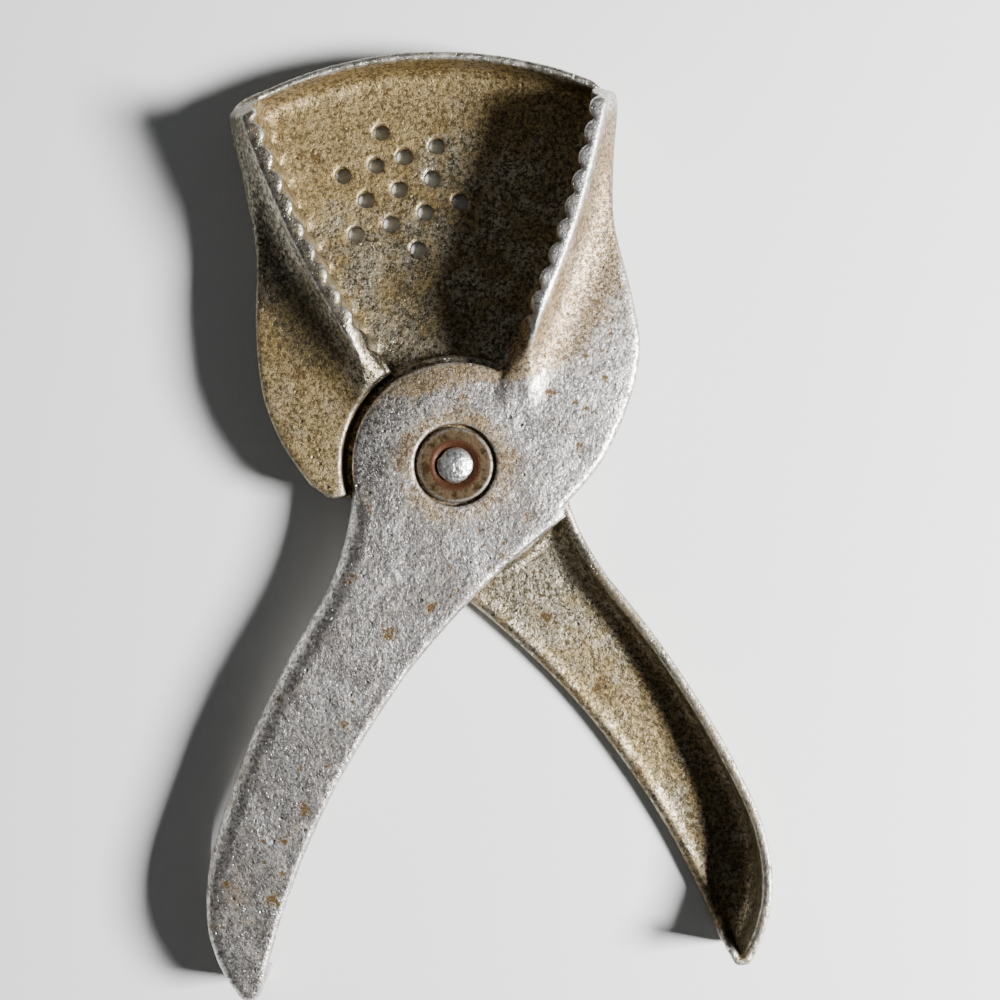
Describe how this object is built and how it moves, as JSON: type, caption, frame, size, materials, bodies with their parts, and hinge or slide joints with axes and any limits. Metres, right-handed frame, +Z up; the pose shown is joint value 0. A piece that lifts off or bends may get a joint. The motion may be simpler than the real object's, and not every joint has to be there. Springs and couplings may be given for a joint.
{
  "type": "nutcracker",
  "caption": "Hand nutcracker with crossed cast-aluminium levers on a riveted pin, ribbed jaws, a rimmed pan with drain holes and open channel-section handles.",
  "frame": {"origin": "on the hinge's axis, in the plane the tool lies on", "axes": "+Z up along the hinge's pin, from the resting plane to the dome of the pin; +Y from the pin towards the pan, halving the angle between the open jaws; +X to the moving jaw's side"},
  "size_m": [0.1144, 0.1887, 0.023],
  "materials": {
    "lower_casting": "sand-cast, dull, with olive and brown staining",
    "upper_casting": "sand-cast, handled smooth, small brown spots and pits",
    "pin_metal": "bright peened head",
    "washer_metal": "dull with red-brown rust in its countersink"
  },
  "bodies": {
    "lower": {"lower_lever": "lower_casting", "pivot_pin": "pin_metal", "upper_washer": "washer_metal", "lower_washer": "washer_metal"},
    "upper": {"upper_lever": "upper_casting"}
  },
  "joints": [
    {"name": "jaw_hinge", "type": "hinge", "parent": "lower", "child": "upper", "pos_m": [0, 0, 0.0075], "axis": [0, 0, 1], "range_deg": [0, 46]}
  ]
}
